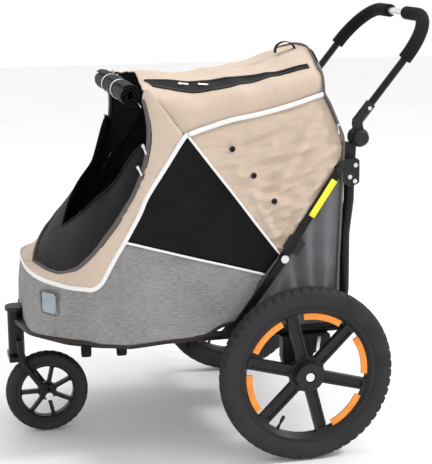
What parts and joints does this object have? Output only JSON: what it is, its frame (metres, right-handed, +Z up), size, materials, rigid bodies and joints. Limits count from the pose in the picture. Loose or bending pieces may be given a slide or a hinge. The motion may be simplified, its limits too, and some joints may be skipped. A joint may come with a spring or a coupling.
{
  "type": "pet stroller",
  "caption": "Folding pet stroller: fabric cabin with mesh windows on a tube frame, front caster, large spoked rear wheels, tilting handle.",
  "frame": {"origin": "centre of the bounding box, on the ground", "axes": "-X is the front of the stroller, -Y its left side, +Z up; the wheel axles lie along Y"},
  "size_m": [0.9834, 0.707, 0.9901],
  "materials": {
    "aluminium": "satin",
    "beige_fabric": "matte",
    "black_plastic": "satin",
    "black_tube": "satin",
    "board": "matte",
    "brown_piping": "matte",
    "cushion": "matte",
    "dark_fabric": "matte",
    "foam": "matte",
    "grey_fabric": "matte",
    "mesh": "matte",
    "orange": "gloss",
    "reflector": "gloss",
    "rim": "satin",
    "steel": "satin",
    "tyre": "matte",
    "webbing": "matte",
    "white_piping": "matte",
    "yellow_label": "satin",
    "zip": "satin"
  },
  "bodies": {
    "chassis": {"base_frame": "black_tube", "head_cap": "black_plastic", "rear_axle_tube": "black_tube", "left_axle_carrier": "black_plastic", "right_axle_carrier": "black_plastic", "left_wheel_axle": "steel", "right_wheel_axle": "steel", "left_rail_foot": "black_plastic", "right_rail_foot": "black_plastic", "brake_springs": "steel", "fold_pivots": "steel", "floor_board": "board", "floor_cushion": "cushion", "cabin_base": "grey_fabric", "cabin_canopy": "beige_fabric", "side_windows": "mesh", "side_gussets": "dark_fabric", "rear_panel": "dark_fabric", "front_mesh_panel": "mesh", "rolled_flap": "webbing"},
    "caster": {"front_fork": "black_tube", "fork_stem": "black_tube", "front_axle": "steel"},
    "front_wheel": {"front_tyre": "tyre", "front_rim": "rim"},
    "left_wheel": {"left_rear_tyre": "tyre", "left_rear_rim": "rim", "left_rear_spokes": "rim", "left_rim_inserts": "orange"},
    "right_wheel": {"right_rear_tyre": "tyre", "right_rear_rim": "rim", "right_rear_spokes": "rim", "right_rim_inserts": "orange"},
    "left_release": {"left_wheel_release": "steel"},
    "right_release": {"right_wheel_release": "steel"},
    "brake": {"brake_pedal": "black_plastic"},
    "legs": {"left_leg": "black_tube", "right_leg": "black_tube", "left_hinge_block": "black_plastic", "right_hinge_block": "black_plastic", "hinge_rivets": "steel"},
    "handle": {"left_handle_tube": "black_tube", "right_handle_tube": "black_tube", "handle_bar": "aluminium", "left_foam_grip": "foam", "right_foam_grip": "foam", "left_handle_sleeve": "black_plastic", "right_handle_sleeve": "black_plastic"},
    "left_knob": {"left_fold_knob": "black_plastic"},
    "right_knob": {"right_fold_knob": "black_plastic"},
    "left_snap": {"left_snap_button": "steel"},
    "right_snap": {"right_snap_button": "steel"},
    "upper_rails": {"left_upper_rail": "black_tube", "right_upper_rail": "black_tube"},
    "lower_rails": {"left_lower_rail": "black_tube", "right_lower_rail": "black_tube", "rail_rivets": "steel"},
    "left_lock": {"left_rail_lock": "black_plastic"},
    "right_lock": {"right_rail_lock": "black_plastic"}
  },
  "joints": [
    {"name": "caster_swivel", "type": "hinge", "parent": "chassis", "child": "caster", "pos_m": [-0.462, 0, 0.25], "axis": [0, 0, 1], "continuous": true},
    {"name": "front_wheel_spin", "type": "hinge", "parent": "caster", "child": "front_wheel", "pos_m": [-0.394, 0, 0.0976], "axis": [0, 1, 0], "continuous": true},
    {"name": "left_wheel_spin", "type": "hinge", "parent": "chassis", "child": "left_wheel", "pos_m": [0.149, -0.3225, 0.2], "axis": [0, 1, 0], "continuous": true},
    {"name": "left_release_press", "type": "slide", "parent": "chassis", "child": "left_release", "axis": [0, 1, 0], "range_m": [0, 0.004], "stiffness_N_per_m": 600},
    {"name": "right_wheel_spin", "type": "hinge", "parent": "chassis", "child": "right_wheel", "pos_m": [0.149, 0.3225, 0.2], "axis": [0, 1, 0], "continuous": true},
    {"name": "right_release_press", "type": "slide", "parent": "chassis", "child": "right_release", "axis": [0, -1, 0], "range_m": [0, 0.004], "stiffness_N_per_m": 600},
    {"name": "brake_press", "type": "hinge", "parent": "chassis", "child": "brake", "pos_m": [0.205, 0, 0.248], "axis": [0, 1, 0], "range_deg": [0, 20]},
    {"name": "frame_fold", "type": "hinge", "parent": "chassis", "child": "legs", "pos_m": [0.261, 0, 0.29], "axis": [0, -1, 0], "range_deg": [0, 70], "deforming": ["cabin_base", "cabin_canopy", "side_windows", "side_gussets", "rear_panel", "front_mesh_panel", "rolled_flap"]},
    {"name": "upper_rail_fold", "type": "hinge", "parent": "legs", "child": "upper_rails", "pos_m": [0.241, 0, 0.645], "axis": [0, -1, 0], "range_deg": [0, 59.29]},
    {"name": "lower_rail_fold", "type": "hinge", "parent": "chassis", "child": "lower_rails", "pos_m": [-0.004, 0, 0.297], "axis": [0, -1, 0], "range_deg": [-16.5, 0]},
    {"name": "handle_tilt", "type": "hinge", "parent": "legs", "child": "handle", "pos_m": [0.297, 0, 0.712], "axis": [0, -1, 0], "range_deg": [-45, 30]},
    {"name": "left_knob_press", "type": "slide", "parent": "handle", "child": "left_knob", "axis": [0, 1, 0], "range_m": [0, 0.0045], "stiffness_N_per_m": 600},
    {"name": "left_snap_press", "type": "slide", "parent": "handle", "child": "left_snap", "axis": [0, 1, 0], "range_m": [0, 0.003], "stiffness_N_per_m": 400},
    {"name": "left_lock_slide", "type": "slide", "parent": "upper_rails", "child": "left_lock", "axis": [0.5527, 0, 0.8334], "range_m": [0, 0.015]},
    {"name": "right_knob_press", "type": "slide", "parent": "handle", "child": "right_knob", "axis": [0, -1, 0], "range_m": [0, 0.0045], "stiffness_N_per_m": 600},
    {"name": "right_snap_press", "type": "slide", "parent": "handle", "child": "right_snap", "axis": [0, -1, 0], "range_m": [0, 0.003], "stiffness_N_per_m": 400},
    {"name": "right_lock_slide", "type": "slide", "parent": "upper_rails", "child": "right_lock", "axis": [0.5527, 0, 0.8334], "range_m": [0, 0.015]}
  ],
  "couplings": [
    {"joint": "upper_rail_fold", "follows": "frame_fold", "ratio": 0.8398},
    {"joint": "lower_rail_fold", "follows": "frame_fold", "ratio": -0.22857}
  ]
}
